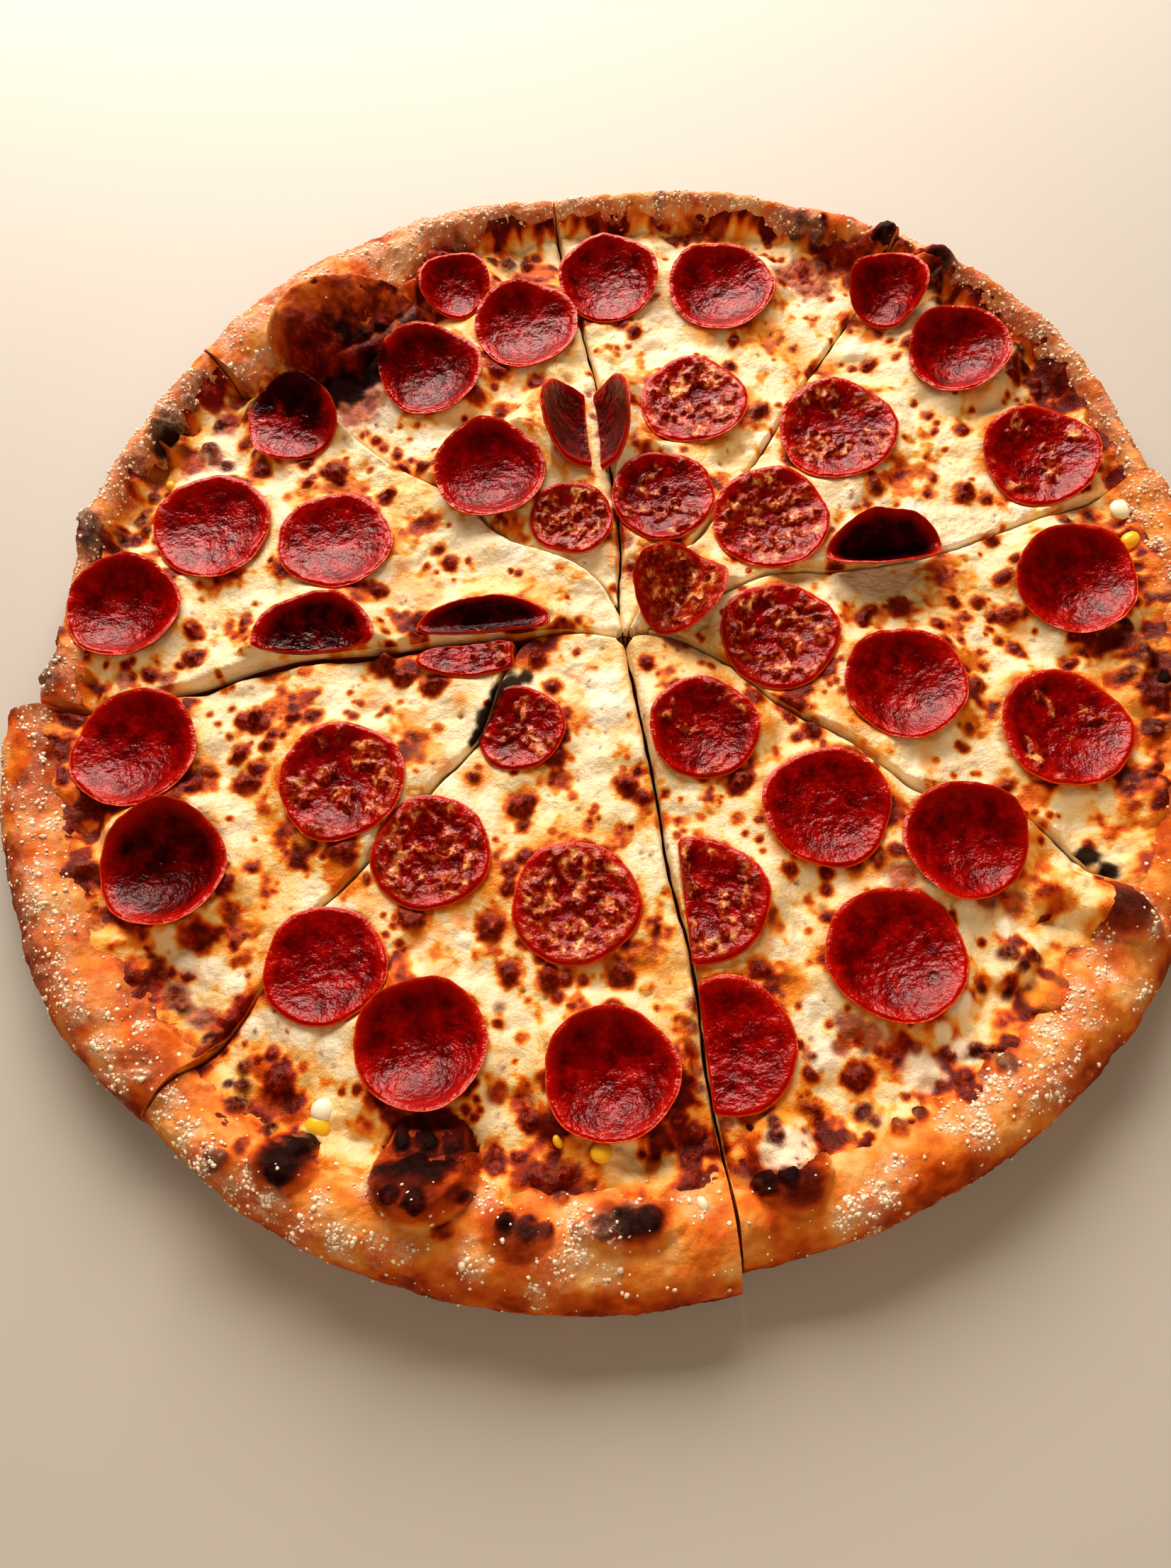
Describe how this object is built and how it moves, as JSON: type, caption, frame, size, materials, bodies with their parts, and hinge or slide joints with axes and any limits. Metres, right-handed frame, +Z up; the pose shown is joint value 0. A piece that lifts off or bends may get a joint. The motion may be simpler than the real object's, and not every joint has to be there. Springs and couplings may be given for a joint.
{
  "type": "pepperoni pizza cut in eight slices",
  "caption": "Round pepperoni pizza cut into wedge slices that keep its shape, with a puffed browned rim, melted cheese and curled pepperoni.",
  "frame": {"origin": "centre of the bounding box in plan, on the flat face the pizza rests on", "axes": "+Z up; +Y away from the picture's viewer; +X to the viewer's right"},
  "size_m": [0.4, 0.4009, 0.0334],
  "materials": {
    "crust": "dry golden-brown baked crust, paler where floured and dark brown where charred",
    "cheese": "soft melted cheese, ivory with golden and brown blistered patches",
    "pepperoni": "oily cured meat, deep red and glossy"
  },
  "bodies": {
    "root": {"slice1_cheese": "cheese", "slice1_crust": "crust", "slice1_pepperoni_a": "pepperoni", "slice1_pepperoni_b": "pepperoni", "slice1_pepperoni_c": "pepperoni", "slice1_pepperoni_d": "pepperoni", "slice1_pepperoni_e": "pepperoni", "slice2_cheese": "cheese", "slice2_crust": "crust", "slice2_pepperoni_a": "pepperoni", "slice2_pepperoni_b": "pepperoni", "slice2_pepperoni_c": "pepperoni", "slice2_pepperoni_d": "pepperoni", "slice2_pepperoni_e": "pepperoni", "slice2_pepperoni_f": "pepperoni", "slice2_pepperoni_g": "pepperoni", "slice3_cheese": "cheese", "slice3_crust": "crust", "slice3_pepperoni_a": "pepperoni", "slice3_pepperoni_b": "pepperoni", "slice3_pepperoni_c": "pepperoni", "slice3_pepperoni_d": "pepperoni", "slice4_cheese": "cheese", "slice4_crust": "crust", "slice4_pepperoni_a": "pepperoni", "slice4_pepperoni_b": "pepperoni", "slice4_pepperoni_c": "pepperoni", "slice4_pepperoni_d": "pepperoni", "slice4_pepperoni_e": "pepperoni", "slice4_pepperoni_f": "pepperoni", "slice5_cheese": "cheese", "slice5_crust": "crust", "slice5_pepperoni_a": "pepperoni", "slice5_pepperoni_b": "pepperoni", "slice5_pepperoni_c": "pepperoni", "slice5_pepperoni_d": "pepperoni", "slice5_pepperoni_e": "pepperoni", "slice5_pepperoni_f": "pepperoni", "slice6_cheese": "cheese", "slice6_crust": "crust", "slice6_pepperoni_a": "pepperoni", "slice6_pepperoni_b": "pepperoni", "slice6_pepperoni_c": "pepperoni", "slice6_pepperoni_d": "pepperoni", "slice7_cheese": "cheese", "slice7_crust": "crust", "slice7_pepperoni_a": "pepperoni", "slice7_pepperoni_b": "pepperoni", "slice7_pepperoni_c": "pepperoni", "slice7_pepperoni_d": "pepperoni", "slice7_pepperoni_e": "pepperoni", "slice7_pepperoni_f": "pepperoni", "slice8_cheese": "cheese", "slice8_crust": "crust", "slice8_pepperoni_a": "pepperoni", "slice8_pepperoni_b": "pepperoni", "slice8_pepperoni_c": "pepperoni", "slice8_pepperoni_d": "pepperoni", "slice8_pepperoni_e": "pepperoni", "slice8_pepperoni_f": "pepperoni"}
  },
  "joints": []
}
